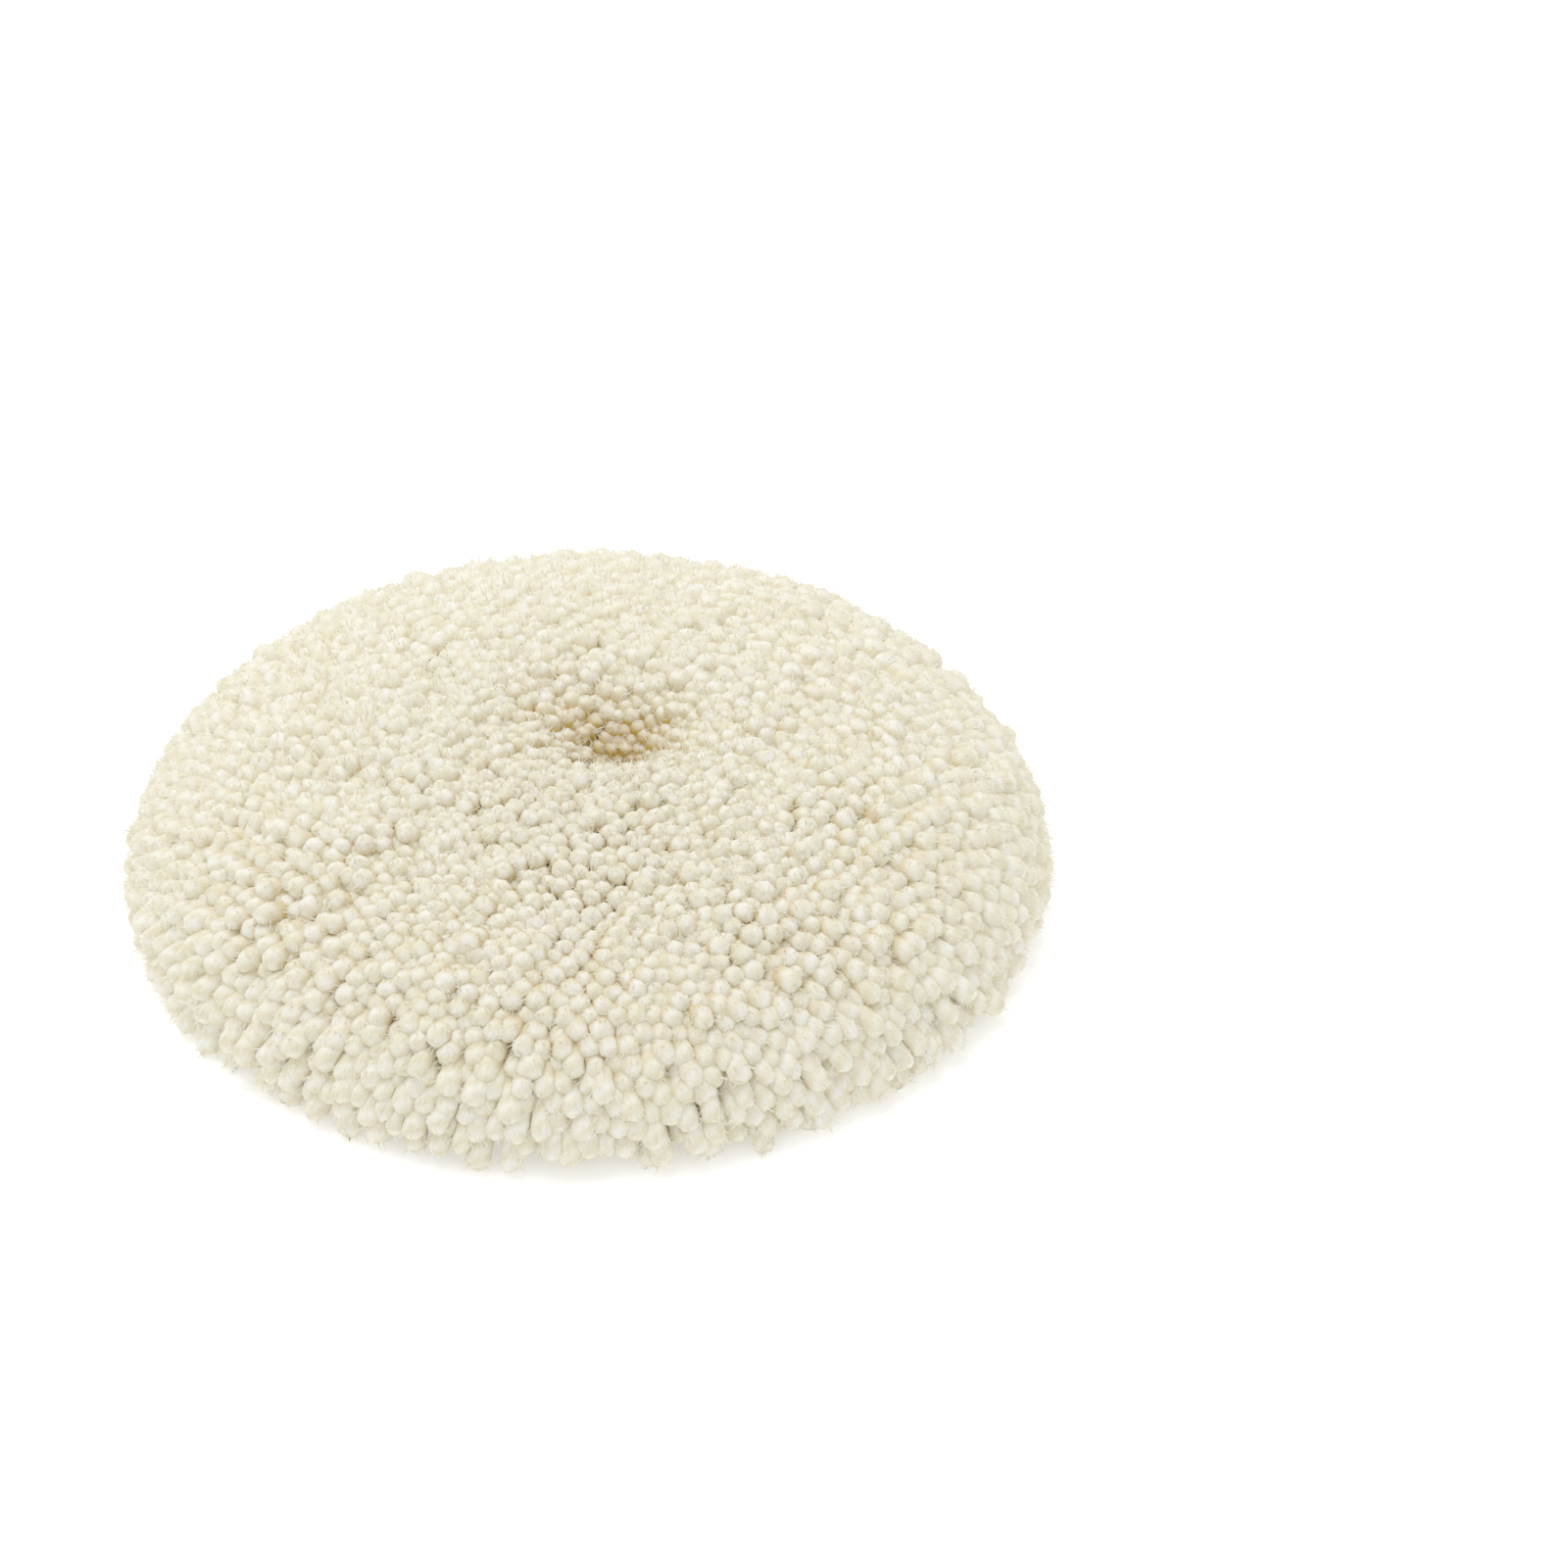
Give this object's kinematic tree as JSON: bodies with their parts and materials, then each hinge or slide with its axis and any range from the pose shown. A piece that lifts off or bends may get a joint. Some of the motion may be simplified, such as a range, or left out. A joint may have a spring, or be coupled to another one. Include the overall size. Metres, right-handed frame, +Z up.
{
  "type": "polishing pad",
  "caption": "Round tufted wool polishing pad with a domed pile of twisted yarn, a foam interface, a brushed loop back and a small centre hole.",
  "frame": {"origin": "on the pad's axis, in the face of the loop fabric that the pad lies on", "axes": "+Z up through the pile, away from the backing; the rows of tufts run along X"},
  "size_m": [0.1998, 0.1994, 0.0347],
  "materials": {
    "wool_yarn": "cut twisted wool yarn, undyed cream",
    "loop_fabric": "brushed looped knit",
    "hot_melt": "pressed translucent film",
    "foam": "open-cell polyurethane foam",
    "latex": "knife-coated and cured",
    "base_cloth": "plain-woven cotton",
    "thread": "bonded polyester sewing thread"
  },
  "bodies": {
    "root": {"loop_fabric": "loop_fabric", "hot_melt_film": "hot_melt", "interface_foam": "foam", "latex_coat": "latex", "base_cloth": "base_cloth", "rim_seam_bobbin_thread": "thread", "hole_seam_bobbin_thread": "thread", "rim_seam_needle_thread": "thread", "hole_seam_needle_thread": "thread", "tuft_row_01": "wool_yarn", "tuft_row_02": "wool_yarn", "tuft_row_03": "wool_yarn", "tuft_row_04": "wool_yarn", "tuft_row_05": "wool_yarn", "tuft_row_06": "wool_yarn", "tuft_row_07": "wool_yarn", "tuft_row_08": "wool_yarn", "tuft_row_09": "wool_yarn", "tuft_row_10": "wool_yarn", "tuft_row_11": "wool_yarn", "tuft_row_12": "wool_yarn", "tuft_row_13": "wool_yarn", "tuft_row_14": "wool_yarn", "tuft_row_15": "wool_yarn", "tuft_row_16": "wool_yarn", "tuft_row_17": "wool_yarn", "tuft_row_18": "wool_yarn", "tuft_row_19_left": "wool_yarn", "tuft_row_19_right": "wool_yarn", "tuft_row_20_left": "wool_yarn", "tuft_row_20_right": "wool_yarn", "tuft_row_21_left": "wool_yarn", "tuft_row_21_right": "wool_yarn", "tuft_row_22": "wool_yarn", "tuft_row_23": "wool_yarn", "tuft_row_24": "wool_yarn", "tuft_row_25": "wool_yarn", "tuft_row_26": "wool_yarn", "tuft_row_27": "wool_yarn", "tuft_row_28": "wool_yarn", "tuft_row_29": "wool_yarn", "tuft_row_30": "wool_yarn", "tuft_row_31": "wool_yarn", "tuft_row_32": "wool_yarn", "tuft_row_33": "wool_yarn", "tuft_row_34": "wool_yarn", "tuft_row_35": "wool_yarn", "tuft_row_36": "wool_yarn", "tuft_row_37": "wool_yarn", "tuft_row_38": "wool_yarn", "tuft_row_39": "wool_yarn"}
  },
  "joints": []
}
